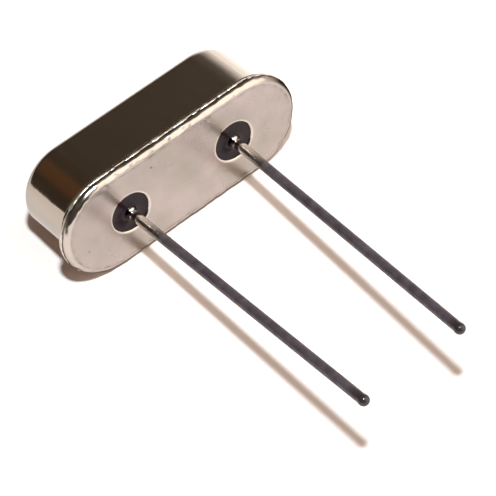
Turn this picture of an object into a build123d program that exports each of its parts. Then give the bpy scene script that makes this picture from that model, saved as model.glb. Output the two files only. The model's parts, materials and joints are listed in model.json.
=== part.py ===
from build123d import *
import math
import os

# Low-profile quartz crystal unit: a sealed metal can on a flanged base with two wire leads.
# Sizes are in millimetres and angles in degrees.
# Each piece is built in an upright frame: X along the can, Y across it, Z out of the base along
# the leads, with Z = 0 on the base's outer face. The finished unit is then laid on its side.

# Cover: a can drawn from thin sheet, with a flange turned out at its mouth
can_length = 9.94
can_width = 3.62
unit_height = 3.42
cover_wall = 0.15
closed_end_inner_bevel = 0.25
mouth_bend_radius = 0.12

# Welded flange: the cover's flange and the base's flange share one trimmed outline
flange_end_overhang = 0.41
flange_side_overhang = 0.325
base_flange_thickness = 0.32
flange_edge_chamfer = 0.04
rim_land = 0.03

# Base: the raised middle fills the mouth of the can
base_thickness = 0.92
plateau_clearance = 0.05
plateau_edge_chamfer = 0.10
seal_hole_diameter = 1.64
hole_edge_bevel = 0.06

# Glass seals: the glass dips between the hole's edge and the lead, and climbs the lead
glass_dip = 0.08
glass_climb = 0.07

# Leads: bare wire through the glass, tinned from just above the base to the tip
lead_pitch = 4.88
bare_wire_diameter = 0.38
tin_thickness = 0.01
lead_length = 13.38
lead_straight = 0.30
lead_bend_length = 0.60
lead_lean_left = 0.4
lead_lean_right = 1.95
tip_length = 0.42
tip_swell = 0.02
head_diameter = 0.90
head_thickness = 0.12
head_standoff = 0.25

# Quartz strip: its thickness sets the frequency
blank_thickness = 0.17
blank_end_clearance = 0.82
blank_side_clearance = 0.76
blank_headroom = 0.80

# Electrode films: far thinner on the real strip, drawn thick enough to be solids
film_thickness = 0.02
electrode_length = 4.40
electrode_side_margin = 0.28
electrode_tab_width = 0.50

# Support clips: strip bent into a foot, a riser, a shelf and an end stop
clip_thickness = 0.10
clip_width = 1.00
clip_neck_width = 0.56
clip_foot_corner_radius = 0.30
clip_bend_radius = 0.12
clip_foot_overhang = 0.35
clip_riser_inset = 0.62
clip_stop_height = 0.12

# Conductive adhesive: a bond line under the strip, round its end and over its edge
bond_line = 0.05
bond_grip = 0.42
bond_width = 0.80
bond_cap = 0.12
bond_edge_radius = 0.08

# Heights in the upright frame
closed_end_z = -unit_height
weld_z = -base_flange_thickness
flange_back_z = weld_z - cover_wall
plateau_z = -base_thickness
head_z = plateau_z - head_standoff
foot_z = head_z - head_thickness
ceiling_z = closed_end_z + cover_wall
blank_top_z = ceiling_z + blank_headroom
blank_under_z = blank_top_z + blank_thickness
shelf_z = blank_under_z + bond_line

# Sizes that follow from the driving ones
closed_end_radius = closed_end_inner_bevel + cover_wall
flange_length = can_length + 2 * flange_end_overhang
flange_width = can_width + 2 * flange_side_overhang
flange_thickness = base_flange_thickness + cover_wall
cavity_length = can_length - 2 * cover_wall
cavity_width = can_width - 2 * cover_wall
plateau_length = cavity_length - 2 * plateau_clearance
plateau_width = cavity_width - 2 * plateau_clearance
rim_radius = base_flange_thickness - flange_edge_chamfer - rim_land
seal_radius = seal_hole_diameter / 2
wire_radius = bare_wire_diameter / 2
lead_radius = wire_radius + tin_thickness
blank_length = cavity_length - 2 * blank_end_clearance
blank_width = cavity_width - 2 * blank_side_clearance
blank_end_x = blank_length / 2
stop_x = blank_end_x + bond_line
grip_x = blank_end_x - bond_grip
lead_x = lead_pitch / 2

# Two positions closer than this are the same one
same = 0.001


def stadium_block(length, width, z_low, z_high):
    """Upright block of stadium outline between two heights."""
    outline = Pos(0, 0, z_low) * SlotOverall(length, width)
    return extrude(outline, amount=z_high - z_low)


def stadium_edges(solid, z, width):
    """Edges at height z that belong to the stadium outline of this width."""
    found = []
    for edge in solid.edges():
        box = edge.bounding_box()
        level = abs(box.min.Z - z) < same and abs(box.max.Z - z) < same
        reach = max(abs(box.min.Y), abs(box.max.Y))
        if level and abs(reach - width / 2) < same:
            found.append(edge)
    return found


def make_cover():
    """Drawn can: rounded closed end, thin wall, flange turned out through a small bend."""
    can = stadium_block(can_length, can_width, closed_end_z, weld_z)
    can = fillet(stadium_edges(can, closed_end_z, can_width), closed_end_radius)
    flange = stadium_block(flange_length, flange_width, flange_back_z, weld_z)
    for z in (flange_back_z, weld_z):
        flange = chamfer(stadium_edges(flange, z, flange_width), flange_edge_chamfer)
    cover = can + flange
    cover = fillet(stadium_edges(cover, flange_back_z, can_width), mouth_bend_radius)
    cavity = stadium_block(cavity_length, cavity_width, ceiling_z, weld_z)
    cavity = chamfer(stadium_edges(cavity, ceiling_z, cavity_width), closed_end_inner_bevel)
    cover -= cavity
    mouth = stadium_edges(cover, weld_z, cavity_width)
    return fillet(mouth, mouth_bend_radius + cover_wall)


def make_base_plate():
    """Stamped plate: rounded rim, raised middle and two holes with a bevelled outer edge."""
    flange = stadium_block(flange_length, flange_width, weld_z, 0)
    flange = chamfer(stadium_edges(flange, weld_z, flange_width), flange_edge_chamfer)
    flange = fillet(stadium_edges(flange, 0, flange_width), rim_radius)
    plateau = stadium_block(plateau_length, plateau_width, plateau_z, weld_z)
    plateau = chamfer(stadium_edges(plateau, plateau_z, plateau_width), plateau_edge_chamfer)
    plate = flange + plateau
    for x in (-lead_x, lead_x):
        plate -= Pos(x, 0, -base_thickness / 2) * Cylinder(seal_radius, base_thickness)
    return chamfer(stadium_edges(plate, 0, seal_hole_diameter), hole_edge_bevel)


def make_glass_seal(x):
    """Ring of fused glass, dished outside and sloping up to the wire inside."""
    outer_z = -hole_edge_bevel
    inner_z = plateau_z + glass_dip
    middle = (seal_radius + wire_radius) / 2
    with BuildSketch(Plane.XZ) as section:
        with BuildLine():
            Line((seal_radius, inner_z), (seal_radius, outer_z))
            ThreePointArc((seal_radius, outer_z), (middle, -glass_dip), (wire_radius, glass_climb))
            Line((wire_radius, glass_climb), (wire_radius, plateau_z - glass_climb))
            Line((wire_radius, plateau_z - glass_climb), (seal_radius, inner_z))
        make_face()
    return Pos(x, 0, 0) * revolve(section.sketch, axis=Axis.Z)


def make_lead(side, lean):
    """Wire with a nail head inside, bare through the glass, then tinned and leaning inwards."""
    x = side * lead_x
    angle = math.radians(lean)
    bend_radius = lead_bend_length / angle
    bend_end = (
        x - side * bend_radius * (1 - math.cos(angle)),
        lead_straight + bend_radius * math.sin(angle),
    )
    along = (-side * math.sin(angle), math.cos(angle))
    shank = lead_length - lead_straight - lead_bend_length - tip_length
    shank_end = (bend_end[0] + shank * along[0], bend_end[1] + shank * along[1])
    with BuildLine(Plane.XZ) as route:
        TangentArc((x, lead_straight), bend_end, tangent=(0, 1))
        Line(bend_end, shank_end)
    tinned = sweep(Pos(x, 0, lead_straight) * Circle(lead_radius), path=route.line)
    bare_length = lead_straight - head_z
    bare = Pos(x, 0, head_z + bare_length / 2) * Cylinder(wire_radius, bare_length)
    head = Pos(x, 0, foot_z + head_thickness / 2) * Cylinder(head_diameter / 2, head_thickness)
    end_plane = Plane(
        origin=(shank_end[0], 0, shank_end[1]),
        x_dir=(along[1], 0, -along[0]),
        z_dir=(along[0], 0, along[1]),
    )
    return head + bare + tinned + end_plane.location * make_lead_tip()


def make_lead_tip():
    """Cropped and tinned end: swells slightly, then closes in a rounded nose."""
    swell = lead_radius + tip_swell
    nose = tip_length - swell
    with BuildSketch(Plane.XZ) as section:
        with BuildLine():
            Line((0, 0), (lead_radius, 0))
            Line((lead_radius, 0), (swell, nose))
            RadiusArc((swell, nose), (0, tip_length), -swell)
            Line((0, tip_length), (0, 0))
        make_face()
    return revolve(section.sketch, axis=Axis.Z)


def make_clip():
    """Right-hand spring clip: foot on the lead's head, narrow riser, shelf and end stop."""
    foot_mid_z = foot_z - clip_thickness / 2
    shelf_mid_z = shelf_z + clip_thickness / 2
    riser_x = blank_end_x - clip_riser_inset
    stop_mid_x = stop_x + clip_thickness / 2
    foot_start_x = lead_x - clip_foot_overhang
    stop_end_z = blank_top_z - clip_stop_height
    with BuildLine(Plane.XZ) as route:
        FilletPolyline(
            (foot_start_x, foot_mid_z),
            (riser_x, foot_mid_z),
            (riser_x, shelf_mid_z),
            (stop_mid_x, shelf_mid_z),
            (stop_mid_x, stop_end_z),
            radius=clip_bend_radius,
        )
    start = Plane(origin=(foot_start_x, 0, foot_mid_z), x_dir=(0, 1, 0), z_dir=(1, 0, 0))
    clip = sweep(start * Rectangle(clip_width, clip_thickness), path=route.line)
    foot_corners = clip.edges().filter_by(Axis.Z).group_by(Axis.X)[0]
    clip = fillet(foot_corners, clip_foot_corner_radius)
    notch_depth = (clip_width - clip_neck_width) / 2
    notch_height = foot_mid_z - shelf_mid_z - clip_thickness
    notch = Box(3 * clip_thickness, notch_depth, notch_height)
    for side in (-1, 1):
        notch_y = side * (clip_width - notch_depth) / 2
        clip -= Pos(riser_x, notch_y, (foot_mid_z + shelf_mid_z) / 2) * notch
    return clip


def make_blank():
    """Rectangular quartz strip lying parallel to the base."""
    middle = (blank_top_z + blank_under_z) / 2
    return Pos(0, 0, middle) * Box(blank_length, blank_width, blank_thickness)


def make_electrode(side, z_low):
    """Thin film with a tab that runs to the adhesive at one end of the strip."""
    width = blank_width - 2 * electrode_side_margin
    tab_length = grip_x - electrode_length / 2
    tab_x = side * (grip_x - tab_length / 2)
    middle = z_low + film_thickness / 2
    pad = Box(electrode_length, width, film_thickness)
    tab = Box(tab_length, electrode_tab_width, film_thickness)
    return Pos(0, 0, middle) * (pad + Pos(tab_x, 0, 0) * tab)


def make_adhesive():
    """Right-hand bond: grips the end of the strip from below, from the end and from above."""
    top_z = blank_top_z - bond_cap
    length = stop_x - grip_x
    height = shelf_z - top_z
    middle_x = (stop_x + grip_x) / 2
    middle_z = (shelf_z + top_z) / 2
    block = Pos(middle_x, 0, middle_z) * Box(length, bond_width, height)
    block = fillet(block.faces().sort_by(Axis.Z)[0].edges(), bond_edge_radius)
    return block - make_blank() - make_clip()


def resting_tilt():
    """Angle between the leads and the floor when the flange and the closed end both touch it."""
    across = flange_side_overhang + closed_end_radius
    along = unit_height - closed_end_radius - (flange_thickness - flange_edge_chamfer)
    reach = math.hypot(across, along)
    return math.degrees(math.acos(closed_end_radius / reach) - math.atan2(along, across))


def lay_down(pieces):
    """Turn the unit onto its side and put the origin under the middle of its bounding box."""
    turn = Rot(90 - resting_tilt(), 0, 0)
    turned = {name: turn * piece for name, piece in pieces.items()}
    box = Compound(children=[piece.solid() for piece in turned.values()]).bounding_box()
    shift = Pos(-(box.min.X + box.max.X) / 2, -(box.min.Y + box.max.Y) / 2, -box.min.Z)
    return {name: shift * piece for name, piece in turned.items()}


def make_pieces():
    """All pieces by name, in the upright frame. Left is the -X side."""
    clip = make_clip()
    adhesive = make_adhesive()
    return {
        "cover": make_cover(),
        "base_plate": make_base_plate(),
        "glass_seal_left": make_glass_seal(-lead_x),
        "glass_seal_right": make_glass_seal(lead_x),
        "lead_left": make_lead(-1, lead_lean_left),
        "lead_right": make_lead(1, lead_lean_right),
        "support_clip_left": mirror(clip, about=Plane.YZ),
        "support_clip_right": clip,
        "quartz_blank": make_blank(),
        "electrode_upper": make_electrode(-1, blank_top_z - film_thickness),
        "electrode_lower": make_electrode(1, blank_under_z),
        "adhesive_left": mirror(adhesive, about=Plane.YZ),
        "adhesive_right": adhesive,
    }


pieces = lay_down(make_pieces())
os.makedirs("parts", exist_ok=True)
for name, piece in pieces.items():
    export_step(piece.solid(), f"parts/{name}.step")
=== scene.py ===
"""Looks of a low-profile quartz crystal unit that lies on its side.

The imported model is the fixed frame. Each operator below makes one piece or one group of like
pieces, from sizes measured on that frame. The last one adds the floor, the light and the camera.
"""

import json
import math

import bmesh
import bpy
from mathutils import Matrix, Vector, noise


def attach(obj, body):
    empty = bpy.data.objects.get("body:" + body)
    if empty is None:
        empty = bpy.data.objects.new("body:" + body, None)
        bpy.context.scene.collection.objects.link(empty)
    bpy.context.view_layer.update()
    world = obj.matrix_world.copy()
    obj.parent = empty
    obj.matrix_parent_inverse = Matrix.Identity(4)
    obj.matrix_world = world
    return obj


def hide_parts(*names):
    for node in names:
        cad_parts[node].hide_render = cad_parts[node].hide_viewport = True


bl_info = {
    "name": "Quartz crystal unit",
    "version": (1, 0, 0),
    "blender": (4, 5, 0),
    "location": "3D View > Sidebar > Crystal",
    "description": "Makes the metal can, glass seals and wire leads of a quartz crystal unit",
    "category": "Add Mesh",
}

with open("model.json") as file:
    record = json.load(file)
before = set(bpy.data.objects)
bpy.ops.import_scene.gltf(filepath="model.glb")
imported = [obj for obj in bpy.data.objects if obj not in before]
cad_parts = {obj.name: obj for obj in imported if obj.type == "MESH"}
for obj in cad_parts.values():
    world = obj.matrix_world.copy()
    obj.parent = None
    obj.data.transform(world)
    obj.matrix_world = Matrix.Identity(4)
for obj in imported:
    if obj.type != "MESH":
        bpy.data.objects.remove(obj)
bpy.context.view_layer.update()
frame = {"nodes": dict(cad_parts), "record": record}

MM = 0.001
BODY = "root"
NOISE_SEED = 2

# With no seed set, the noise that wander reads would change with the time of the run
noise.seed_set(NOISE_SEED)


def linear(hex_colour):
    """Linear RGBA of an sRGB colour written as six hex digits."""
    channels = []
    for start in (0, 2, 4):
        value = int(hex_colour[start:start + 2], 16) / 255
        channels.append(value / 12.92 if value <= 0.04045 else ((value + 0.055) / 1.055) ** 2.4)
    return (*channels, 1.0)


# Places and sizes taken from the frame

def mount(name):
    """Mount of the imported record, by name."""
    return next(m for m in frame["record"]["mounts"] if m["name"] == name)


def upright_place():
    """Matrix from the upright frame to the lying part.

    Upright, X runs along the can, Y across it and Z out of the base, with Z = 0 on its outer face.
    """
    seat = mount("seating_face")
    out = Vector(seat["axis"]).normalized()
    along = Vector((1, 0, 0))
    turn = Matrix((along, out.cross(along), out)).transposed().to_4x4()
    return Matrix.Translation(Vector(seat["pos_m"])) @ turn


PLACE = upright_place()
UPRIGHT = PLACE.inverted()


def upright_points(node):
    """Corners of a CAD node's mesh in the upright frame."""
    return [UPRIGHT @ vertex.co for vertex in frame["nodes"][node].data.vertices]


def upright_box(node):
    """Lowest and highest corner of a CAD node in the upright frame."""
    points = upright_points(node)
    low = Vector(min(p[axis] for p in points) for axis in range(3))
    high = Vector(max(p[axis] for p in points) for axis in range(3))
    return low, high


COVER_LOW, COVER_HIGH = upright_box("cover")
SEAL_LOW, SEAL_HIGH = upright_box("glass_seal_right")
CLOSED_END_Z = COVER_LOW.z
WELD_Z = COVER_HIGH.z
PLATEAU_Z = upright_box("base_plate")[0].z
FLANGE_LENGTH = COVER_HIGH.x - COVER_LOW.x
FLANGE_WIDTH = COVER_HIGH.y - COVER_LOW.y
CAN_POINTS = [p for p in upright_points("cover") if p.z < CLOSED_END_Z / 2]
CAN_LENGTH = 2 * max(p.x for p in CAN_POINTS)
CAN_WIDTH = 2 * max(p.y for p in CAN_POINTS)
CAN = (CAN_LENGTH, CAN_WIDTH)
FLANGE = (FLANGE_LENGTH, FLANGE_WIDTH)
PLATEAU_POINTS = [p for p in upright_points("base_plate") if p.z < WELD_Z + PLATEAU_Z / 4]
PLATEAU = (2 * max(p.x for p in PLATEAU_POINTS), 2 * max(p.y for p in PLATEAU_POINTS))
SEAL_RADIUS = (SEAL_HIGH.x - SEAL_LOW.x) / 2
SEAL_X = (SEAL_HIGH.x + SEAL_LOW.x) / 2


# Settings

LENGTH = {"unit": "LENGTH", "precision": 6}
COLOUR = {"subtype": "COLOR", "size": 4, "min": 0, "max": 1}


class CoverSettings(bpy.types.PropertyGroup):
    """Sizes and finish of the drawn can."""

    wall: bpy.props.FloatProperty(
        name="Wall", description="Thickness of the drawn sheet",
        default=0.15 * MM, **LENGTH)
    closed_end_radius: bpy.props.FloatProperty(
        name="Closed end radius", description="Outer radius between wall and closed end",
        default=0.40 * MM, **LENGTH)
    mouth_radius: bpy.props.FloatProperty(
        name="Mouth radius", description="Outer radius of the bend between wall and flange",
        default=0.12 * MM, **LENGTH)
    back_radius: bpy.props.FloatProperty(
        name="Flange back radius", description="Rounding of the flange's edge towards the can",
        default=0.03 * MM, **LENGTH)
    weld_radius: bpy.props.FloatProperty(
        name="Flange weld radius", description="Rounding of the flange's edge towards the weld",
        default=0.09 * MM, **LENGTH)
    crown: bpy.props.FloatProperty(
        name="Crown", description="How far the long walls bow outwards in the middle",
        default=0.03 * MM, **LENGTH)
    waviness: bpy.props.FloatProperty(
        name="Flange waviness", description="How far the welded flange's edge wanders",
        default=0.010 * MM, **LENGTH)
    colour: bpy.props.FloatVectorProperty(
        name="Plating", description="Colour of the bright nickel plating",
        default=linear("c4bab1"), **COLOUR)


class BaseSettings(bpy.types.PropertyGroup):
    """Sizes and finish of the stamped base plate."""

    rim_radius: bpy.props.FloatProperty(
        name="Rim radius", description="Rounding of the flange towards the outer face",
        default=0.235 * MM, **LENGTH)
    groove_inset: bpy.props.FloatProperty(
        name="Groove inset", description="Distance of the pressed groove from the edge",
        default=0.255 * MM, **LENGTH)
    groove_depth: bpy.props.FloatProperty(
        name="Groove depth", description="Depth of the pressed groove",
        default=0.005 * MM, **LENGTH)
    seam_radius: bpy.props.FloatProperty(
        name="Seam radius", description="Rounding of the flange towards the weld",
        default=0.03 * MM, **LENGTH)
    hole_radius: bpy.props.FloatProperty(
        name="Hole edge radius", description="Rounding of the outer edge of the seal holes",
        default=0.06 * MM, **LENGTH)
    waviness: bpy.props.FloatProperty(
        name="Rim waviness", description="How far the pressed rim wanders",
        default=0.016 * MM, **LENGTH)
    colour: bpy.props.FloatVectorProperty(
        name="Plating", description="Colour of the satin nickel plating",
        default=linear("bbaeab"), **COLOUR)


class SealSettings(bpy.types.PropertyGroup):
    """Shape and colour of the fused glass seals."""

    dip: bpy.props.FloatProperty(
        name="Dip", description="Depth of the dished glass surface below the face",
        default=0.08 * MM, **LENGTH)
    climb: bpy.props.FloatProperty(
        name="Climb", description="How far the glass climbs the wire",
        default=0.04 * MM, **LENGTH)
    colour: bpy.props.FloatVectorProperty(
        name="Glass", description="Colour of the dark seal glass",
        default=linear("1e1319"), **COLOUR)


class WeldSettings(bpy.types.PropertyGroup):
    """Shape of the flash that the ring weld pressed out of the seam."""

    radius: bpy.props.FloatProperty(
        name="Radius", description="Usual radius of the weld flash",
        default=0.065 * MM, **LENGTH)
    unevenness: bpy.props.FloatProperty(
        name="Unevenness", description="Share by which the flash swells and thins",
        default=2.4, min=0)
    stray: bpy.props.FloatProperty(
        name="Stray", description="How far the flash strays from the seam",
        default=0.02 * MM, **LENGTH)


class LeadSettings(bpy.types.PropertyGroup):
    """Shape and finish of the wire leads."""

    straight: bpy.props.FloatProperty(
        name="Straight length", description="Height at which the tin and the bend begin",
        default=0.30 * MM, **LENGTH)
    bare_radius: bpy.props.FloatProperty(
        name="Bare radius", description="Radius of the wire under the tin",
        default=0.19 * MM, **LENGTH)
    collar: bpy.props.FloatProperty(
        name="Collar", description="How far the rounded collar at the glass stands out",
        default=0.09 * MM, **LENGTH)
    tip_swell: bpy.props.FloatProperty(
        name="Tip swell", description="How far the tinned tip swells past the wire",
        default=0.02 * MM, **LENGTH)
    tin_unevenness: bpy.props.FloatProperty(
        name="Tin unevenness", description="Share by which the tinned radius varies",
        default=0.02, min=0, max=0.1)
    colour: bpy.props.FloatVectorProperty(
        name="Tin", description="Colour of the dull tinned wire",
        default=linear("60545a"), **COLOUR)


class StageSettings(bpy.types.PropertyGroup):
    """Floor and light."""

    floor_colour: bpy.props.FloatVectorProperty(
        name="Floor", description="Colour of the pale floor",
        default=linear("f7ebe7"), **COLOUR)
    room_colour: bpy.props.FloatVectorProperty(
        name="Room", description="Colour of the dim room round the floor",
        default=linear("4b4034"), **COLOUR)
    wall_colour: bpy.props.FloatVectorProperty(
        name="Wall", description="Colour of the dim room towards the right",
        default=linear("655d53"), **COLOUR)
    wood_colour: bpy.props.FloatVectorProperty(
        name="Wood", description="Colour of the brown patch at the back on the left",
        default=linear("684b33"), **COLOUR)
    bounce_colour: bpy.props.FloatVectorProperty(
        name="Bounce", description="Colour of the soft patch of light on the right",
        default=linear("fff0ea"), **COLOUR)
    screen_colour: bpy.props.FloatVectorProperty(
        name="Screen", description="Colour of the pale glow low down on the right",
        default=linear("fff6f0"), **COLOUR)
    window_colour: bpy.props.FloatVectorProperty(
        name="Window", description="Colour of the tall soft light in front and on the right",
        default=linear("fff4e4"), **COLOUR)
    window_strength: bpy.props.FloatProperty(
        name="Window strength", description="Brightness of the tall soft light", default=2.1, min=0)
    floor_glow: bpy.props.FloatVectorProperty(
        name="Floor glow", description="Paleness that a look at the floor adds",
        default=linear("341f19"), **COLOUR)
    key_colour: bpy.props.FloatVectorProperty(
        name="Key", description="Colour of the key light",
        default=linear("e2f1f5"), **COLOUR)
    key_power: bpy.props.FloatProperty(
        name="Key power", description="Power of the key light",
        default=0.315, min=0, unit="POWER", precision=4)
    key_size: bpy.props.FloatProperty(
        name="Key size", description="Diameter of the key light",
        default=13 * MM, **LENGTH)


# Meshes

ARC_STEPS = 84
SIDE_STEPS = 120
BEND_STEPS = 8
MERGE_DISTANCE = 0.0001 * MM
FLOOR_GAP = 0.002 * MM


def stadium_ring(outline, z):
    """Points of a stadium outline, given by length and width, at height z, counter-clockwise."""
    length, width = outline
    radius = width / 2
    centre = (length - width) / 2
    points = []
    for side in (1, -1):
        for step in range(ARC_STEPS + 1):
            angle = math.pi * (step / ARC_STEPS - 0.5)
            x = side * (centre + radius * math.cos(angle))
            points.append(Vector((x, side * radius * math.sin(angle), z)))
        for step in range(1, SIDE_STEPS):
            x = side * centre * (1 - 2 * step / SIDE_STEPS)
            points.append(Vector((x, side * radius, z)))
    return points


def inset_ring(outline, inset, z):
    """Ring of a stadium outline moved inwards all round."""
    length, width = outline
    return stadium_ring((length - 2 * inset, width - 2 * inset), z)


def circle_ring(x, radius, z, steps=64):
    """Points of a circle about the vertical line at x, counter-clockwise."""
    turn = 2 * math.pi / steps
    return [
        Vector((x + radius * math.cos(step * turn), radius * math.sin(step * turn), z))
        for step in range(steps)
    ]


def quarter(steps=BEND_STEPS):
    """Sine and cosine pairs of a quarter turn."""
    angles = [math.pi / 2 * step / steps for step in range(steps + 1)]
    return [(math.sin(angle), math.cos(angle)) for angle in angles]


def wander(point, size, wavelength, seed):
    """Point moved by smooth noise of the given size, and by finer noise of half the wavelength."""
    spot = point / wavelength + Vector((seed, 0, 0))
    fine = noise.noise_vector(spot * 2.1) * 0.9
    return point + (noise.noise_vector(spot) + fine) * size


def edge_distance(point, outline):
    """How far a point lies inside a stadium outline."""
    length, width = outline
    centre = (length - width) / 2
    beyond = max(0.0, abs(point.x) - centre)
    return width / 2 - math.hypot(beyond, point.y)


def ramp(value, start, end):
    """Share of the way from start to end, from 0 to 1."""
    return min(1.0, max(0.0, (value - start) / (end - start)))


def bell(value, middle, width):
    """1 at the middle, falling smoothly to about a third at this width from it."""
    return math.exp(-((value - middle) / width) ** 2)


def bridge(mesh, lower, upper):
    """Faces between two rings of as many vertices."""
    count = len(lower)
    for index in range(count):
        after = (index + 1) % count
        mesh.faces.new((lower[index], lower[after], upper[after], upper[index]))


def skin(mesh, rings):
    """Faces along a run of rings; returns the first and last ring's vertices."""
    made = [[mesh.verts.new(point) for point in ring] for ring in rings]
    for lower, upper in zip(made, made[1:]):
        bridge(mesh, lower, upper)
    return made[0], made[-1]


def ring_edges(ring):
    """Edges round a ring of vertices."""
    edges = []
    for vertex, after in zip(ring, ring[1:] + ring[:1]):
        edges.extend(edge for edge in vertex.link_edges if edge.other_vert(vertex) is after)
    return edges


def fill_between(mesh, *rings):
    """Flat face between an outline and the holes in it."""
    edges = [edge for ring in rings for edge in ring_edges(ring)]
    bmesh.ops.triangle_fill(mesh, use_beauty=True, edges=edges)


def finish_mesh(mesh, name, material, stands_for, tone=None):
    """Make a piece of an upright mesh: laid in place, smooth, normals outwards.

    The last argument gives each point's painted light: -1 for painted shade, 1 for a painted
    highlight.
    """
    bmesh.ops.remove_doubles(mesh, verts=mesh.verts, dist=MERGE_DISTANCE)
    bmesh.ops.recalc_face_normals(mesh, faces=mesh.faces)
    for face in mesh.faces:
        face.smooth = True
    data = bpy.data.meshes.new(name)
    mesh.to_mesh(data)
    mesh.free()
    # Store the painted shade and painted highlights as a point attribute
    if tone:
        shades = data.attributes.new("tone", "FLOAT", "POINT")
        for vertex in data.vertices:
            shades.data[vertex.index].value = tone(vertex.co)
    data.transform(PLACE)
    add_piece(name, data, material, stands_for)


def add_piece(name, data, material, stands_for):
    """Make an object that rides on the body, stands for CAD nodes and stays above the floor."""
    for vertex in data.vertices:
        vertex.co.z = max(vertex.co.z, FLOOR_GAP)
    data.materials.clear()
    data.materials.append(material)
    piece = bpy.data.objects.new(name, data)
    bpy.context.scene.collection.objects.link(piece)
    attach(piece, BODY)
    if stands_for:
        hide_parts(*stands_for)


# Materials

# Sockets of the Mix node when it mixes colours
MIX_SHARE, MIX_LOW, MIX_HIGH, MIX_COLOUR = 0, 6, 7, 2
SEAT_OUT = Vector(mount("seating_face")["axis"])
SEAT_REACH = SEAT_OUT.dot(Vector(mount("seating_face")["pos_m"]))


def add_node(tree, kind, props=None, values=None, links=None):
    """Node with its properties, socket values and incoming links set."""
    node = tree.nodes.new(kind)
    for key, value in (props or {}).items():
        setattr(node, key, value)
    for key, value in (values or {}).items():
        node.inputs[key].default_value = value
    for key, source in (links or {}).items():
        tree.links.new(source, node.inputs[key])
    return node


def start_material(name):
    """Empty node material and its object coordinates."""
    material = bpy.data.materials.new(name)
    material.use_nodes = True
    tree = material.node_tree
    tree.nodes.clear()
    place = add_node(tree, "ShaderNodeTexCoord")
    return material, tree, place.outputs["Object"]


def blotches(tree, place, feature, low, high, detail=4.0):
    """Values from low to high, in noise whose blotches are this many millimetres across."""
    field = add_node(
        tree, "ShaderNodeTexNoise",
        values={"Scale": 1 / (feature * MM), "Detail": detail}, links={"Vector": place},
    )
    return add_node(
        tree, "ShaderNodeMapRange",
        values={"From Min": 0.3, "From Max": 0.7, "To Min": low, "To Max": high},
        links={"Value": field.outputs[0]},
    ).outputs[0]


def ripples(tree, place, feature, height, under=None):
    """Normals of bumps this wide and high, in millimetres, laid over the coarser ones under them."""
    field = add_node(
        tree, "ShaderNodeTexNoise",
        values={"Scale": 1 / (feature * MM), "Detail": 3.0}, links={"Vector": place},
    )
    links = {"Height": field.outputs[0]}
    if under:
        links["Normal"] = under
    return add_node(
        tree, "ShaderNodeBump", values={"Distance": height * MM}, links=links,
    ).outputs[0]


def broken_up(tree, place, colour, other, feature, most=1.0, detail=4.0):
    """Colour broken up by blotches of another one, this many millimetres across."""
    return add_node(
        tree, "ShaderNodeMix", props={"data_type": "RGBA"},
        values={MIX_LOW: colour, MIX_HIGH: linear(other)},
        links={MIX_SHARE: blotches(tree, place, feature, 0.0, most, detail)},
    ).outputs[MIX_COLOUR]


def rising(start, end):
    """Map Range settings for a share that rises from 0 at the start to 1 at the end."""
    return {"From Min": start, "From Max": end}


def sorted_inputs(inputs):
    """Values and links for add_node, told apart by whether an input is fed by a socket."""
    links = {key: fed for key, fed in inputs.items() if isinstance(fed, bpy.types.NodeSocket)}
    values = {key: fed for key, fed in inputs.items() if key not in links}
    return {"values": values, "links": links}


def turned(tree, value, edge, before, after):
    """Colour or number that turns from one into another where a value crosses a soft edge."""
    share = add_node(tree, "ShaderNodeMapRange", values=edge, links={"Value": value}).outputs[0]
    inputs = sorted_inputs({MIX_SHARE: share, MIX_LOW: before, MIX_HIGH: after})
    mixed = add_node(tree, "ShaderNodeMix", props={"data_type": "RGBA"}, **inputs)
    return mixed.outputs[MIX_COLOUR]


def with_painted_light(tree, plain, painted_dark, highlight):
    """Colour or number that follows the piece's painted light attribute, from painted shade over
    plain to painted highlight.
    """
    # Painted shade where the attribute is below 0, painted highlight where it is above 0
    tone = add_node(tree, "ShaderNodeAttribute", props={"attribute_name": "tone"}).outputs["Fac"]
    darkened = turned(tree, tone, rising(0.0, -1.0), plain, painted_dark)
    return turned(tree, tone, rising(0.0, 1.0), darkened, highlight)


def bright_nickel(colour):
    """Bright nickel plate over deep-drawn nickel silver.

    A near mirror with a warm cast. Drawing leaves faint lines along the depth and a soft unevenness
    that bends reflections. A dark line of painted shade lies on the closed end's edge, the right end
    has a painted highlight and the left end a little painted shade. Real lines are 0.02 mm apart;
    they are drawn 0.1 mm apart, so that they show.
    """
    material, tree, place = start_material("bright_nickel_plate_drawn")
    drawn = add_node(
        tree, "ShaderNodeMapping", values={"Scale": (1.0, 0.12, 1.0)}, links={"Vector": place},
    ).outputs[0]
    tint = broken_up(tree, drawn, colour, "bfb4a9", 0.5)
    swell = ripples(tree, place, 1.1, 0.008)
    shader = add_node(
        tree, "ShaderNodeBsdfPrincipled", values={"Metallic": 1.0},
        links={
            # Painted shade (241c17) and painted highlight (e6ddd2), placed by the painted light
            # attribute
            "Base Color": with_painted_light(tree, tint, linear("241c17"), linear("e6ddd2")),
            "Roughness": blotches(tree, place, 1.4, 0.07, 0.15),
            "Normal": ripples(tree, drawn, 0.10, 0.0006, swell),
        },
    )
    add_node(tree, "ShaderNodeOutputMaterial", links={"Surface": shader.outputs[0]})
    return material


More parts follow.
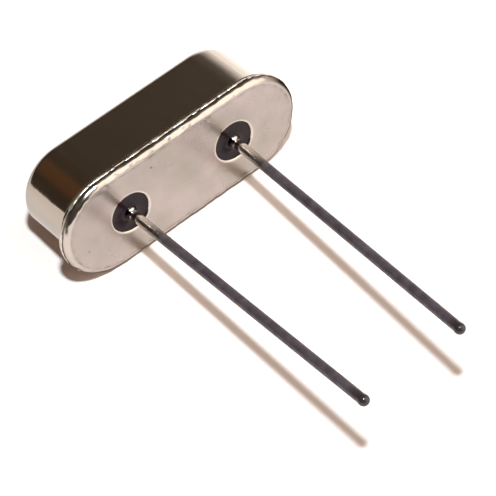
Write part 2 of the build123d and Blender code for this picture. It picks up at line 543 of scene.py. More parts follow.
def satin_nickel(colour):
    """Satin nickel plate over stamped steel.

    Soft reflections with faint cloudy patches and a few specks of dirt. Painted shade darkens the
    pressed groove, the side towards the seam and the rim's lower right part; a painted highlight
    brightens the rim and the ring round the glass, where the plate is also smoother. The strip's
    rolled grain is about 0.01 mm; it is drawn at 0.05 mm, so that it shows.
    """
    material, tree, place = start_material("satin_nickel_plate_stamped")
    cloudy = broken_up(tree, place, colour, "a39c94", 1.6, most=0.9, detail=5.0)
    specks = add_node(
        tree, "ShaderNodeTexVoronoi", values={"Scale": 1 / (1.3 * MM)}, links={"Vector": place},
    ).outputs["Distance"]
    dirty = turned(tree, specks, rising(0.05, 0.03), cloudy, linear("6d6158"))
    rough = blotches(tree, place, 1.1, 0.22, 0.30)
    uneven = ripples(tree, place, 0.9, 0.006)
    shader = add_node(
        tree, "ShaderNodeBsdfPrincipled",
        values={"Metallic": 1.0, "Specular Tint": linear("6e625a")},
        links={
            # Painted shade (3d342e) and painted highlight (e0d6ce) follow the painted light
            # attribute; where the highlight is painted, the roughness also drops
            "Base Color": with_painted_light(tree, dirty, linear("3d342e"), linear("e0d6ce")),
            "Roughness": with_painted_light(tree, rough, (0.4, 0.4, 0.4, 1.0), (0.1, 0.1, 0.1, 1.0)),
            "Normal": ripples(tree, place, 0.05, 0.0005, uneven),
        },
    )
    add_node(tree, "ShaderNodeOutputMaterial", links={"Surface": shader.outputs[0]})
    return material


def weld_metal():
    """Nickel pressed molten out of the seam: small bright beads with soft glints."""
    material, tree, place = start_material("weld_flash_nickel_fused")
    shader = add_node(
        tree, "ShaderNodeBsdfPrincipled",
        values={"Base Color": linear("e2d8cc"), "Metallic": 1.0},
        links={
            "Roughness": blotches(tree, place, 0.2, 0.26, 0.46),
            "Normal": ripples(tree, place, 0.08, 0.003),
        },
    )
    add_node(tree, "ShaderNodeOutputMaterial", links={"Surface": shader.outputs[0]})
    return material


def seal_glass(colour):
    """Dark compression glass, fused in place: opaque, purplish black, with a smooth uneven skin."""
    material, tree, place = start_material("dark_seal_glass_fused")
    shader = add_node(
        tree, "ShaderNodeBsdfPrincipled", values={"IOR": 1.50, "Specular IOR Level": 0.15},
        links={
            "Base Color": broken_up(tree, place, colour, "271a1d", 0.3),
            "Roughness": blotches(tree, place, 0.25, 0.08, 0.14),
            "Normal": ripples(tree, place, 0.25, 0.008),
        },
    )
    add_node(tree, "ShaderNodeOutputMaterial", links={"Surface": shader.outputs[0]})
    return material


def up_wire(start, end):
    """Soft edge between two heights over the base's outer face, in millimetres."""
    return rising(SEAT_REACH + start * MM, SEAT_REACH + end * MM)


CLEAN_FROM = up_wire(0.15, 0.24)
DULL_FROM = up_wire(0.7, 2.2)
OXIDE_FROM = up_wire(1.825, 2.2)
TIP_FROM = up_wire(12.5, 13.1)
BEAD_PLACE = PLACE @ Vector((SEAL_X, 0.24 * MM, 0.06 * MM))
BEAD_RADIUS = 0.07 * MM


def dull_tin(colour):
    """Solder-dipped tin over drawn wire.

    Dark grey and dull with darker patches, because oxide and flux cover the tin: only part of it
    still mirrors like metal. It is bright where the wire leaves the glass and the dip is thin, and
    the tip has a darker, smoother drop. Black oxide stays on the collar at the root, but for one
    bright bead on its upper side. The oxide's grain is about 0.01 mm; it is drawn at 0.04 mm, so
    that it shows.
    """
    material, tree, place = start_material("dull_tin_dipped_wire")
    reach = add_node(
        tree, "ShaderNodeVectorMath", props={"operation": "DOT_PRODUCT"},
        values={1: SEAT_OUT}, links={0: place},
    ).outputs["Value"]
    patchy = broken_up(tree, place, colour, "473c41", 0.4)
    tinned = turned(tree, reach, DULL_FROM, linear("dcd6d0"), patchy)
    tipped = turned(tree, reach, TIP_FROM, tinned, linear("3c3437"))
    either_side = add_node(
        tree, "ShaderNodeVectorMath", props={"operation": "ABSOLUTE"}, links={0: place},
    ).outputs[0]
    to_bead = add_node(
        tree, "ShaderNodeVectorMath", props={"operation": "DISTANCE"},
        values={1: BEAD_PLACE}, links={0: either_side},
    ).outputs["Value"]
    clean, bead = [
        add_node(tree, "ShaderNodeMapRange", values=edge, links={"Value": value}).outputs[0]
        for edge, value in ((CLEAN_FROM, reach), (rising(2 * BEAD_RADIUS, BEAD_RADIUS), to_bead))
    ]
    bright = add_node(
        tree, "ShaderNodeMath", props={"operation": "MAXIMUM"}, links={0: clean, 1: bead},
    ).outputs[0]
    rooted = add_node(
        tree, "ShaderNodeMix", props={"data_type": "RGBA"},
        values={MIX_LOW: linear("2b2324")}, links={MIX_SHARE: bright, MIX_HIGH: tipped},
    ).outputs[MIX_COLOUR]
    metallic = add_node(
        tree, "ShaderNodeMapRange", values={**OXIDE_FROM, "To Min": 1.0, "To Max": 0.4},
        links={"Value": reach},
    ).outputs[0]
    rough = add_node(
        tree, "ShaderNodeMapRange", values={**DULL_FROM, "To Min": 0.09},
        links={"Value": reach, "To Max": blotches(tree, place, 0.35, 0.38, 0.54)},
    ).outputs[0]
    smoothed = add_node(
        tree, "ShaderNodeMapRange", values={**TIP_FROM, "To Max": 0.2},
        links={"Value": reach, "To Min": rough},
    ).outputs[0]
    lumps = ripples(tree, place, 0.2, 0.006)
    shader = add_node(
        tree, "ShaderNodeBsdfPrincipled",
        links={
            "Base Color": rooted,
            "Metallic": metallic,
            "Roughness": smoothed,
            "Normal": ripples(tree, place, 0.04, 0.0012, lumps),
        },
    )
    add_node(tree, "ShaderNodeOutputMaterial", links={"Surface": shader.outputs[0]})
    return material


# Tubes along curves

def route_curve(name, route, closed=False):
    """Poly curve object with a radius at each point."""
    data = bpy.data.curves.new(name, "CURVE")
    data.dimensions = "3D"
    spline = data.splines.new("POLY")
    spline.points.add(len(route) - 1)
    for point, (spot, radius) in zip(spline.points, route):
        point.co = (*spot, 1.0)
        point.radius = radius
    spline.use_cyclic_u = closed
    curve = bpy.data.objects.new(name, data)
    bpy.context.scene.collection.objects.link(curve)
    return curve


def new_tree(name, sockets):
    """Geometry Nodes tree with a geometry in and out and the named inputs."""
    tree = bpy.data.node_groups.new(name, "GeometryNodeTree")
    tree.interface.new_socket("Geometry", in_out="INPUT", socket_type="NodeSocketGeometry")
    tree.interface.new_socket("Geometry", in_out="OUTPUT", socket_type="NodeSocketGeometry")
    for label, default in sockets.items():
        made = tree.interface.new_socket(label, in_out="INPUT", socket_type="NodeSocketFloat")
        made.default_value = default
    return tree


def close_tree(tree, geometry, material):
    """Realize Instances, Set Material and the output."""
    real = add_node(tree, "GeometryNodeRealizeInstances", links={"Geometry": geometry}).outputs[0]
    dressed = add_node(
        tree, "GeometryNodeSetMaterial",
        values={"Material": material}, links={"Geometry": real},
    ).outputs[0]
    add_node(tree, "NodeGroupOutput", links={"Geometry": dressed})
    return tree


def run_tree(source, tree, values):
    """Plain mesh that a tree makes from an object, which is then removed."""
    modifier = source.modifiers.new(tree.name, "NODES")
    modifier.node_group = tree
    for item in tree.interface.items_tree:
        if item.item_type == "SOCKET" and item.in_out == "INPUT" and item.name in values:
            modifier[item.identifier] = values[item.name]
    bpy.context.view_layer.update()
    graph = bpy.context.evaluated_depsgraph_get()
    data = bpy.data.meshes.new_from_object(source.evaluated_get(graph))
    bpy.data.objects.remove(source)
    if not data.polygons:
        raise RuntimeError(f"{tree.name} made no faces")
    return data


def uneven_tube(tree, path, given, lump, detail, usual, caps):
    """Smooth-shaded tube along a path, whose radius swells and thins in lumps of this length.

    usual is the share of the path's own radius that the tube has between swollen and thin.
    """
    spot = add_node(tree, "GeometryNodeInputPosition").outputs[0]
    lumps = add_node(
        tree, "ShaderNodeTexNoise", props={"noise_dimensions": "4D"},
        values={"Scale": 1 / lump, "Detail": detail}, links={"Vector": spot, "W": given["Seed"]},
    ).outputs[0]
    centred = add_node(
        tree, "ShaderNodeMath", props={"operation": "SUBTRACT"}, values={1: 0.5}, links={0: lumps},
    ).outputs[0]
    share = add_node(
        tree, "ShaderNodeMath", props={"operation": "MULTIPLY_ADD"},
        values={2: usual}, links={0: centred, 1: given["Unevenness"]},
    ).outputs[0]
    radius = add_node(tree, "GeometryNodeInputRadius").outputs[0]
    uneven = add_node(
        tree, "ShaderNodeMath", props={"operation": "MULTIPLY"}, links={0: radius, 1: share},
    ).outputs[0]
    ring = add_node(
        tree, "GeometryNodeCurvePrimitiveCircle",
        values={"Radius": 1.0}, links={"Resolution": given["Facets"]},
    ).outputs[0]
    tube = add_node(
        tree, "GeometryNodeCurveToMesh", values={"Fill Caps": caps},
        links={"Curve": path, "Profile Curve": ring, "Scale": uneven},
    ).outputs[0]
    return add_node(tree, "GeometryNodeSetShadeSmooth", links={"Geometry": tube}).outputs[0]


def flash_tree(material):
    """Uneven bead along a closed curve, which swells, thins and strays a little."""
    tree = new_tree(
        "weld_flash", {"Unevenness": 2.4, "Stray": 0.02 * MM, "Seed": 0.0, "Facets": 10.0},
    )
    given = add_node(tree, "NodeGroupInput").outputs
    spot = add_node(tree, "GeometryNodeInputPosition").outputs[0]
    swirl = add_node(
        tree, "ShaderNodeTexNoise", props={"noise_dimensions": "4D"},
        values={"Scale": 1 / (0.45 * MM), "Detail": 2.0},
        links={"Vector": spot, "W": given["Seed"]},
    ).outputs["Color"]
    drift = add_node(
        tree, "ShaderNodeVectorMath", props={"operation": "SUBTRACT"},
        values={1: (0.5, 0.5, 0.5)}, links={0: swirl},
    ).outputs[0]
    offset = add_node(
        tree, "ShaderNodeVectorMath", props={"operation": "SCALE"},
        links={0: drift, "Scale": given["Stray"]},
    ).outputs[0]
    moved = add_node(
        tree, "GeometryNodeSetPosition", links={"Geometry": given["Geometry"], "Offset": offset},
    ).outputs[0]
    bead = uneven_tube(tree, moved, given, lump=0.28 * MM, detail=1.0, usual=0.8, caps=False)
    return close_tree(tree, bead, material)


def wire_tree(material):
    """Closed tube along a curve, whose radius varies a little."""
    tree = new_tree("tinned_wire", {"Unevenness": 0.02, "Seed": 0.0, "Facets": 32.0})
    given = add_node(tree, "NodeGroupInput").outputs
    path = given["Geometry"]
    wire = uneven_tube(tree, path, given, lump=0.8 * MM, detail=2.0, usual=1.0, caps=True)
    return close_tree(tree, wire, material)


# Operators for the pieces

class MakeCover(bpy.types.Operator):
    """Make the drawn can with its turned-out flange"""

    bl_idname = "crystal.make_cover"
    bl_label = "Cover"

    def execute(self, context):
        size = context.scene.crystal_cover
        mesh = bmesh.new()
        rings = self.outer_rings(size) + self.flange_rings(size) + self.inner_rings(size)
        first, last = skin(mesh, rings)
        mesh.faces.new(reversed(first))
        mesh.faces.new(last)
        finish_mesh(
            mesh, "cover_shell", bright_nickel(size.colour), ["cover"], self.tone,
        )
        return {"FINISHED"}

    def tone(self, point):
        """Painted shade on the closed end's edge, a painted highlight on the right end and painted
        shade on the left end.
        """
        height = point.z - CLOSED_END_Z
        # Painted shade: a dark line along the closed end's edge
        edge_shade = bell(height, 0.15 * MM, 0.12 * MM) if height < 0.5 * MM else 0.0
        # Painted highlight that brightens the right end
        highlight = ramp(point.x, 3.4 * MM, 4.5 * MM)
        # Painted shade that darkens the left end a little
        left_shade = 0.2 * ramp(point.x, -3.4 * MM, -4.2 * MM)
        return (highlight - left_shade) * (1 - edge_shade) - 0.85 * edge_shade

    def outer_rings(self, size):
        """Closed end, its rounded edge and the slightly bowed wall down to the mouth bend."""
        radius = size.closed_end_radius
        rings = [
            inset_ring(CAN, inset, CLOSED_END_Z)
            for inset in (CAN_WIDTH * 0.45, CAN_WIDTH * 0.3, radius * 1.3)
        ]
        for sine, cosine in quarter(2 * BEND_STEPS):
            z = CLOSED_END_Z + radius * (1 - cosine)
            rings.append(inset_ring(CAN, radius * (1 - sine), z))
        start = CLOSED_END_Z + radius
        depth = WELD_Z - size.wall - size.mouth_radius - start
        steps = 14
        for step in range(1, steps):
            ring = stadium_ring(CAN, start + depth * step / steps)
            bow = size.crown * math.sin(math.pi * step / steps)
            rings.append([self.bowed(point, bow) for point in ring])
        return rings

    def bowed(self, point, bow):
        """Point on a long wall moved outwards, most in the middle."""
        straight = (CAN_LENGTH - CAN_WIDTH) / 2
        share = max(0.0, 1 - (point.x / straight) ** 2)
        return point + Vector((0, math.copysign(bow * share, point.y), 0))

    def flange_rings(self, size):
        """Mouth bend, back of the flange, its wandering edge and the welded side."""
        back = WELD_Z - size.wall
        rings = []
        bend = size.mouth_radius
        for sine, cosine in quarter():
            rings.append(inset_ring(CAN, bend * (cosine - 1), back - bend * (1 - sine)))
        edge = size.back_radius
        for sine, cosine in quarter(5):
            rings.append(inset_ring(FLANGE, edge * (1 - sine), back + edge * (1 - cosine)))
        edge = size.weld_radius
        for sine, cosine in quarter(7):
            rings.append(inset_ring(FLANGE, edge * (1 - cosine), WELD_Z - edge * (1 - sine)))
        wandering = []
        for index, ring in enumerate(rings):
            share = max(0.0, (index - BEND_STEPS) / (len(rings) - BEND_STEPS))
            amount = size.waviness * min(1.0, 2 * share)
            wandering.append([wander(point, amount, 0.7 * MM, seed=3.1) for point in ring])
        return wandering

    def inner_rings(self, size):
        """Inside of the mouth bend, inner wall and inside of the closed end."""
        wall = size.wall
        bend = size.mouth_radius + wall
        rings = []
        for sine, cosine in quarter():
            rings.append(inset_ring(CAN, wall - bend * (1 - sine), WELD_Z - bend * (1 - cosine)))
        corner = size.closed_end_radius - wall
        top = CLOSED_END_Z + wall
        for sine, cosine in quarter():
            rings.append(inset_ring(CAN, wall + corner * (1 - cosine), top + corner * (1 - sine)))
        rings.append(inset_ring(CAN, CAN_WIDTH * 0.4, top))
        return rings


# Width of the flat ring round each seal hole, where the painted highlight and smoother finish at the
# hole's edge fade out
HALO = 0.05 * MM
# Painted light: a painted highlight at the glass's edge, painted shade on the side towards the seam
GLASS_EDGE_HIGHLIGHT = 0.7
SEAM_SHADE = -0.6


class MakeBase(bpy.types.Operator):
    """Make the stamped base plate with its rounded rim and two seal holes"""

    bl_idname = "crystal.make_base"
    bl_label = "Base plate"

    def execute(self, context):
        size = context.scene.crystal_base
        mesh = bmesh.new()
        face_ring, plateau_ring = skin(mesh, self.side_rings(size))
        face_holes = []
        plateau_holes = []
        for x in (-SEAL_X, SEAL_X):
            rings = [circle_ring(x, SEAL_RADIUS + size.hole_radius + HALO, 0)]
            for sine, cosine in quarter(6):
                radius = SEAL_RADIUS + size.hole_radius * (1 - sine)
                rings.append(circle_ring(x, radius, -size.hole_radius * (1 - cosine)))
            rings.append(circle_ring(x, SEAL_RADIUS, PLATEAU_Z))
            outer, inner = skin(mesh, rings)
            face_holes.append(outer)
            plateau_holes.append(inner)
        fill_between(mesh, face_ring, *face_holes)
        fill_between(mesh, plateau_ring, *plateau_holes)
        finish_mesh(
            mesh, "base_shell", satin_nickel(size.colour), ["base_plate"],
            lambda point: self.tone(point, size),
        )
        return {"FINISHED"}

    def tone(self, point, size):
        """Painted highlight on the rim and round the glass, where the plate is also smoother;
        painted shade in the groove, at the seam and below.

        The painted shade below lies on the rim's lower right part, where side is above 0.
        """
        hole = math.hypot(abs(point.x) - SEAL_X, point.y) - SEAL_RADIUS
        if point.z < WELD_Z + size.seam_radius * 0.5:
            return 0.0
        # Painted highlight on the ring round the glass
        if hole < size.hole_radius + HALO * 0.5:
            return GLASS_EDGE_HIGHLIGHT
        # Painted shade on the side towards the seam
        if point.z < -size.rim_radius * 0.8:
            return SEAM_SHADE
        inset = edge_distance(point, FLANGE)
        patchy = max(0.0, 0.4 + 1.5 * noise.noise(point / (0.3 * MM)))
        # Painted shade in the pressed groove, broken into patches
        groove = bell(inset, size.groove_inset, 0.02 * MM) * patchy
        # Painted highlight on the rim
        rim_highlight = ramp(inset, size.rim_radius * 0.96, size.rim_radius * 0.64)
        side = 0.1 + 0.9 * point.x / FLANGE_LENGTH - point.y / FLANGE_WIDTH
        # Painted shade on the rim's lower right part
        under = ramp(side, 0.0, 0.25) * ramp(inset, 0.176 * MM, 0.096 * MM)
        return 0.4 * (rim_highlight - groove) * (1 - under) - under

    def side_rings(self, size):
        """From the outer face over the groove and rim, past the weld and up the raised middle."""
        groove = size.groove_inset
        rim = size.rim_radius
        seam = size.seam_radius
        flat = [inset_ring(FLANGE, groove + inset * MM, 0) for inset in (0.16, 0.14)]
        rings = []
        half = groove - rim
        for step in range(9):
            share = 1 - step / 4
            depth = size.groove_depth * (0.5 + 0.5 * math.cos(math.pi * share))
            rings.append(inset_ring(FLANGE, groove + half * share, -depth))
        for sine, cosine in quarter(16)[1:]:
            rings.append(inset_ring(FLANGE, rim * (1 - sine), -rim * (1 - cosine)))
        for sine, cosine in quarter(5):
            rings.append(inset_ring(FLANGE, seam * (1 - cosine), WELD_Z + seam * (1 - sine)))
        wavy = [
            [wander(point, size.waviness, 0.45 * MM, seed=7.7) for point in ring] for ring in rings
        ]
        bevel = 0.1 * MM
        middle = [
            stadium_ring(PLATEAU, WELD_Z),
            stadium_ring(PLATEAU, PLATEAU_Z + bevel),
            inset_ring(PLATEAU, bevel, PLATEAU_Z),
        ]
        return flat + wavy + middle


class MakeWeld(bpy.types.Operator):
    """Make the thin flash along the welded seam, with Geometry Nodes that follow the seam"""

    bl_idname = "crystal.make_weld"
    bl_label = "Weld flash"

    def execute(self, context):
        size = context.scene.crystal_weld
        sunk = size.radius * 0.55
        seam = [(point, size.radius) for point in inset_ring(FLANGE, sunk, WELD_Z)]
        curve = route_curve("seam_route", seam, closed=True)
        material = weld_metal()
        tree = flash_tree(material)
        values = {"Unevenness": size.unevenness, "Stray": size.stray, "Seed": 4.0}
        data = run_tree(curve, tree, values)
        data.transform(PLACE)
        add_piece("weld_flash", data, material, [])
        return {"FINISHED"}


class MakeSeals(bpy.types.Operator):
    """Make the two fused glass seals"""

    bl_idname = "crystal.make_seals"
    bl_label = "Glass seals"

    def execute(self, context):
        size = context.scene.crystal_seals
        wire = context.scene.crystal_leads.bare_radius
        hole_edge = context.scene.crystal_base.hole_radius
        material = seal_glass(size.colour)
        steps = 30
        for side, x in (("left", -SEAL_X), ("right", SEAL_X)):
            rings = []
            for step in range(steps + 1):
                share = (step / steps) ** 1.5
                radius = wire + (SEAL_RADIUS - wire) * share
                rings.append(circle_ring(x, radius, self.surface(share, size, hole_edge)))
            rings.append(circle_ring(x, SEAL_RADIUS, PLATEAU_Z + size.dip))
            rings.append(circle_ring(x, wire, PLATEAU_Z - size.climb))
            mesh = bmesh.new()
            first, last = skin(mesh, rings)
            bridge(mesh, last, first)
            finish_mesh(mesh, f"seal_{side}", material, [f"glass_seal_{side}"])
        return {"FINISHED"}

    def surface(self, share, size, hole_edge):
        """Height of the glass from the wire, share 0, to the hole's edge, share 1."""
        climb_reach = 0.18
        edge_reach = 0.12
        near_wire = math.exp(-share / climb_reach)
        near_hole = math.exp(-(1 - share) / edge_reach)
        dish = size.climb * near_wire - size.dip * (1 - near_wire)
        return dish + (size.dip - hole_edge) * near_hole


# Nail head inside the can, collar at the glass, and radii that close the wire's two ends
HEAD_RADIUS = 0.45 * MM
HEAD_THICKNESS = 0.12 * MM
END_RADIUS = 0.01 * MM
POLE_RADIUS = 0.002 * MM
SHARP_STEP = 0.004 * MM
COLLAR_MIDDLE = 0.03 * MM
COLLAR_HALF = 0.11 * MM
COLLAR_STEPS = 12
WIRE_BENDS = 10
SHANK_STEPS = 180
SWELL_STEPS = 7


class MakeLeads(bpy.types.Operator):
    """Make the two wires, with Geometry Nodes that follow each wire's route"""

    bl_idname = "crystal.make_leads"
    bl_label = "Leads"

    def execute(self, context):
        size = context.scene.crystal_leads
        material = dull_tin(size.colour)
        tree = wire_tree(material)
        for seed, side in ((2.0, "left"), (9.0, "right")):
            curve = route_curve(f"wire_route_{side}", self.route(side, size))
            data = run_tree(curve, tree, {"Unevenness": size.tin_unevenness, "Seed": seed})
            data.transform(PLACE)
            add_piece(f"wire_{side}", data, material, [f"lead_{side}"])
        return {"FINISHED"}

    def route(self, side, size):
        """Points and radii along the wire in the upright frame, from its inner head to its tip."""
        pin = mount(f"lead_{side}_wire")
        along = (UPRIGHT.to_3x3() @ Vector(pin["axis"])).normalized()
        middle = UPRIGHT @ Vector(pin["pos_m"])
        half = pin["dims"]["length_mm"] * MM / 2
        radius = pin["dims"]["r_mm"] * MM
        low, high = upright_box(f"lead_{side}")
        x = SEAL_X if side == "right" else -SEAL_X
        foot = low.z + HEAD_THICKNESS
        points = [
            (Vector((x, 0, low.z)), END_RADIUS),
            (Vector((x, 0, low.z + SHARP_STEP)), HEAD_RADIUS),
            (Vector((x, 0, foot - SHARP_STEP)), HEAD_RADIUS),
            (Vector((x, 0, foot)), size.bare_radius),
        ]
        for step in range(COLLAR_STEPS + 1):
            turn = math.pi * step / COLLAR_STEPS
            spot = Vector((x, 0, COLLAR_MIDDLE - COLLAR_HALF * math.cos(turn)))
            points.append((spot, size.bare_radius + size.collar * math.sin(turn)))
        bend_start = Vector((x, 0, size.straight))
        shank_start = middle - along * half
        shank_end = middle + along * half
        reach = (shank_start - bend_start).length
        for step in range(WIRE_BENDS + 1):
            share = step / WIRE_BENDS
            spot = bend_start + Vector((0, 0, reach * share))
            spot.x += (shank_start.x - x) * share * share
            points.append((spot, radius))
        for step in range(1, SHANK_STEPS + 1):
            points.append((shank_start.lerp(shank_end, step / SHANK_STEPS), radius))
        swollen = radius + size.tip_swell
        nose = (high.z - shank_end.z) / along.z - swollen
        for step in range(1, SWELL_STEPS):
            share = step / SWELL_STEPS
            swell = size.tip_swell * share * share * (3 - 2 * share)
            points.append((shank_end + along * nose * share, radius + swell))
        for sine, cosine in quarter(10):
            spot = shank_end + along * (nose + swollen * sine)
            points.append((spot, max(swollen * cosine, POLE_RADIUS)))
        return points


class DressInside(bpy.types.Operator):
    """Give the sealed inner pieces their materials"""

    bl_idname = "crystal.dress_inside"
    bl_label = "Inner pieces"

    def execute(self, context):
        finishes = {
            "support_clip": self.metal("stamped_clip_strip", "b8aea0", 0.35),
            "electrode": self.metal("evaporated_silver_film", "e4e2dc", 0.18),
            "quartz_blank": self.quartz(),
            "adhesive": self.adhesive(),
        }
        for name, node in frame["nodes"].items():
            for start, material in finishes.items():
                if name.startswith(start):
                    node.data.materials.clear()
                    node.data.materials.append(material)
        return {"FINISHED"}

    def metal(self, name, hex_colour, roughness):
        """Metal whose fine grain softens its reflections; drawn 0.05 mm wide, so that it shows."""
        material, tree, place = start_material(name)
        shader = add_node(
            tree, "ShaderNodeBsdfPrincipled",
            values={"Base Color": linear(hex_colour), "Metallic": 1.0},
            links={
                "Roughness": blotches(tree, place, 0.05, roughness - 0.05, roughness + 0.05),
                "Normal": ripples(tree, place, 0.05, 0.0003),
            },
        )
        add_node(tree, "ShaderNodeOutputMaterial", links={"Surface": shader.outputs[0]})
        return material

    def quartz(self):
        """Lapped quartz: clear, with a ground surface that blurs what lies behind.

        The pits are about 0.01 mm wide; they are drawn 0.03 mm wide, so that they show.
        """
        material, tree, place = start_material("lapped_quartz")
        shader = add_node(
            tree, "ShaderNodeBsdfPrincipled",
            values={"Base Color": linear("eef2f4"), "IOR": 1.54, "Transmission Weight": 0.9},
            links={"Roughness": blotches(tree, place, 0.03, 0.15, 0.3)},
        )
        add_node(tree, "ShaderNodeOutputMaterial", links={"Surface": shader.outputs[0]})
        return material

    def adhesive(self):
        """Silver-filled epoxy, cured: grey, grainy and matt, with a metallic sparkle.

        Its flakes are about 0.01 mm wide; they are drawn 0.04 mm wide, so that they show.
        """
        material, tree, place = start_material("silver_filled_epoxy")
        shader = add_node(
            tree, "ShaderNodeBsdfPrincipled",
            values={"Base Color": linear("a5a39f"), "Metallic": 0.4},
            links={
                "Roughness": blotches(tree, place, 0.04, 0.5, 0.7),
                "Normal": ripples(tree, place, 0.04, 0.002),
            },
        )
        add_node(tree, "ShaderNodeOutputMaterial", links={"Surface": shader.outputs[0]})
        return material


# Stage

CAMERA_AZIMUTH = -32.635
CAMERA_ELEVATION = 51.797
CAMERA_ROLL = 8.678
CAMERA_DISTANCE = 108.327 * MM
CAMERA_AIM = PLACE @ (Vector((-0.2957, -0.6778, 4.0608)) * MM)
CAMERA_LENS = 217.86
SENSOR_WIDTH = 36.0
CLIP = (0.005, 20.0)
KEY_PLACE = Vector((-14.5, -39.9, 150.0)) * MM
FLOOR_HALF = 6.0
WHITE_FROM = rising(30 * MM, 200 * MM)
# Middles of two soft patches of the room, as azimuth and elevation in degrees
WOOD_WAY = (-155, 35)
BOUNCE_WAY = (85, 28)


def direction(azimuth, elevation):
    """Unit vector towards a place on the sky; azimuth 0 is -Y and 90 is +X, in degrees."""
    turn = math.radians(azimuth)
    rise = math.radians(elevation)
    flat = math.cos(rise)
    return Vector((math.sin(turn) * flat, -math.cos(turn) * flat, math.sin(rise)))


def facing(back, roll=0.0):
    """Rotation of a camera or lamp whose back points along this vector."""
    turn = (-back).to_track_quat("-Z", "Y")
    return turn @ Matrix.Rotation(math.radians(-roll), 3, "Z").to_quaternion()


def region(tree, edges):
    """Share that is 1 inside all the soft edges, each a value and where it fades in."""
    inside = None
    for value, start, end in edges:
        edge = add_node(
            tree, "ShaderNodeMapRange", props={"interpolation_type": "SMOOTHSTEP"},
            values={"From Min": start, "From Max": end}, links={"Value": value},
        ).outputs[0]
        if inside:
            edge = add_node(
                tree, "ShaderNodeMath", props={"operation": "MULTIPLY"}, links={0: inside, 1: edge},
            ).outputs[0]
        inside = edge
    return inside


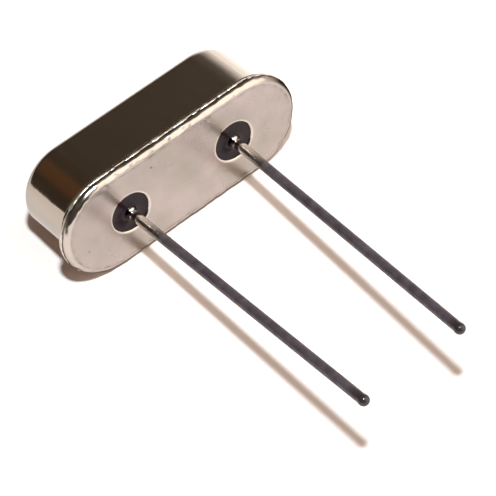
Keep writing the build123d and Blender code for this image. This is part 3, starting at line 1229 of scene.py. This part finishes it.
class MakeStage(bpy.types.Operator):
    """Make the pale floor, the room round it, the key light and the photo's camera"""

    bl_idname = "crystal.make_stage"
    bl_label = "Stage"

    def execute(self, context):
        stage = context.scene.crystal_stage
        self.floor(stage)
        self.key(stage)
        self.room(context.scene, stage)
        self.camera(context.scene)
        context.scene.view_settings.view_transform = "Standard"
        return {"FINISHED"}

    def floor(self, stage):
        """Wide flat floor of matt white board.

        It looks a little paler, directly and in mirrors, and white where the key doesn't reach.
        """
        mesh = bmesh.new()
        bmesh.ops.create_grid(mesh, x_segments=1, y_segments=1, size=FLOOR_HALF)
        data = bpy.data.meshes.new("floor")
        mesh.to_mesh(data)
        mesh.free()
        material, tree, place = start_material("matt_white_board")
        board = add_node(tree, "ShaderNodeBsdfDiffuse", values={"Color": stage.floor_colour})
        look = add_node(tree, "ShaderNodeLightPath").outputs
        seen = look["Is Camera Ray"]
        for kind in ("Is Glossy Ray", "Is Transmission Ray"):
            seen = add_node(
                tree, "ShaderNodeMath", props={"operation": "MAXIMUM"},
                links={0: seen, 1: look[kind]},
            ).outputs[0]
        reach = add_node(
            tree, "ShaderNodeVectorMath", props={"operation": "LENGTH"}, links={0: place},
        ).outputs["Value"]
        pale = turned(tree, reach, WHITE_FROM, stage.floor_glow, linear("ffffff"))
        glow = add_node(tree, "ShaderNodeEmission", links={"Color": pale, "Strength": seen})
        both = add_node(
            tree, "ShaderNodeAddShader", links={0: board.outputs[0], 1: glow.outputs[0]},
        )
        add_node(tree, "ShaderNodeOutputMaterial", links={"Surface": both.outputs[0]})
        data.materials.append(material)
        floor = bpy.data.objects.new("floor", data)
        bpy.context.scene.collection.objects.link(floor)

    def key(self, stage):
        """Small high key light, which draws the shadows of the leads."""
        data = bpy.data.lights.new("key_light", "AREA")
        data.shape = "DISK"
        data.size = stage.key_size
        data.energy = stage.key_power
        data.color = stage.key_colour[:3]
        lamp = bpy.data.objects.new("key_light", data)
        lamp.location = KEY_PLACE
        lamp.rotation_mode = "QUATERNION"
        lamp.rotation_quaternion = facing(KEY_PLACE)
        bpy.context.scene.collection.objects.link(lamp)

    def room(self, scene, stage):
        """Dim brown room with a tall soft light in front of the leads and to their right."""
        world = bpy.data.worlds.new("dim_room")
        world.use_nodes = True
        tree = world.node_tree
        tree.nodes.clear()
        way = add_node(tree, "ShaderNodeTexCoord").outputs["Generated"]
        x, y, z = add_node(tree, "ShaderNodeSeparateXYZ", links={"Vector": way}).outputs
        wood, bounce = [
            add_node(
                tree, "ShaderNodeVectorMath", props={"operation": "DOT_PRODUCT"},
                values={1: direction(*middle)}, links={0: way},
            ).outputs["Value"]
            for middle in (WOOD_WAY, BOUNCE_WAY)
        ]
        layers = (
            (stage.wall_colour, ((x, 0.2, 0.6),)),
            (stage.bounce_colour, ((bounce, 0.9, 0.97),)),
            (stage.wood_colour, ((wood, 0.94, 1.0),)),
            (stage.screen_colour, ((x, 0.3, 0.6), (z, 0.42, 0.0))),
        )
        shade = stage.room_colour
        for colour, edges in layers:
            share = region(tree, edges)
            inputs = sorted_inputs({MIX_SHARE: share, MIX_LOW: shade, MIX_HIGH: colour})
            mixed = add_node(tree, "ShaderNodeMix", props={"data_type": "RGBA"}, **inputs)
            shade = mixed.outputs[MIX_COLOUR]
        dim = add_node(tree, "ShaderNodeBackground", links={"Color": shade})
        window = add_node(
            tree, "ShaderNodeBackground",
            values={"Color": stage.window_colour, "Strength": stage.window_strength},
        )
        edges = ((x, 0.0, 0.3), (x, 1.0, 0.88), (y, 0.05, -0.25), (z, 0.02, 0.08))
        both = add_node(
            tree, "ShaderNodeMixShader",
            links={0: region(tree, edges), 1: dim.outputs[0], 2: window.outputs[0]},
        )
        add_node(tree, "ShaderNodeOutputWorld", links={"Surface": both.outputs[0]})
        scene.world = world

    def camera(self, scene):
        """Camera that sees the part as the photo does."""
        data = bpy.data.cameras.new("camera")
        data.lens = CAMERA_LENS
        data.sensor_width = SENSOR_WIDTH
        data.clip_start, data.clip_end = CLIP
        camera = bpy.data.objects.new("camera", data)
        back = direction(CAMERA_AZIMUTH, CAMERA_ELEVATION)
        camera.location = CAMERA_AIM + back * CAMERA_DISTANCE
        camera.rotation_mode = "QUATERNION"
        camera.rotation_quaternion = facing(back, CAMERA_ROLL)
        scene.collection.objects.link(camera)
        scene.camera = camera


STEPS = (MakeCover, MakeBase, MakeWeld, MakeSeals, MakeLeads, DressInside, MakeStage)
SETTINGS = {
    "crystal_cover": CoverSettings,
    "crystal_base": BaseSettings,
    "crystal_seals": SealSettings,
    "crystal_leads": LeadSettings,
    "crystal_weld": WeldSettings,
    "crystal_stage": StageSettings,
}


class CrystalPanel(bpy.types.Panel):
    """Sidebar panel with one button for each step"""

    bl_idname = "VIEW3D_PT_crystal"
    bl_label = "Quartz crystal unit"
    bl_space_type = "VIEW_3D"
    bl_region_type = "UI"
    bl_category = "Crystal"

    def draw(self, context):
        for step in STEPS:
            self.layout.operator(step.bl_idname)


def register():
    for group in SETTINGS.values():
        bpy.utils.register_class(group)
    for name, group in SETTINGS.items():
        setattr(bpy.types.Scene, name, bpy.props.PointerProperty(type=group))
    for step in (*STEPS, CrystalPanel):
        bpy.utils.register_class(step)


def unregister():
    for step in (CrystalPanel, *reversed(STEPS)):
        bpy.utils.unregister_class(step)
    for name, group in SETTINGS.items():
        delattr(bpy.types.Scene, name)
        bpy.utils.unregister_class(group)


def main():
    register()
    for step in STEPS:
        area, action = step.bl_idname.split(".")
        getattr(getattr(bpy.ops, area), action)()


if __name__ == "__main__":
    main()
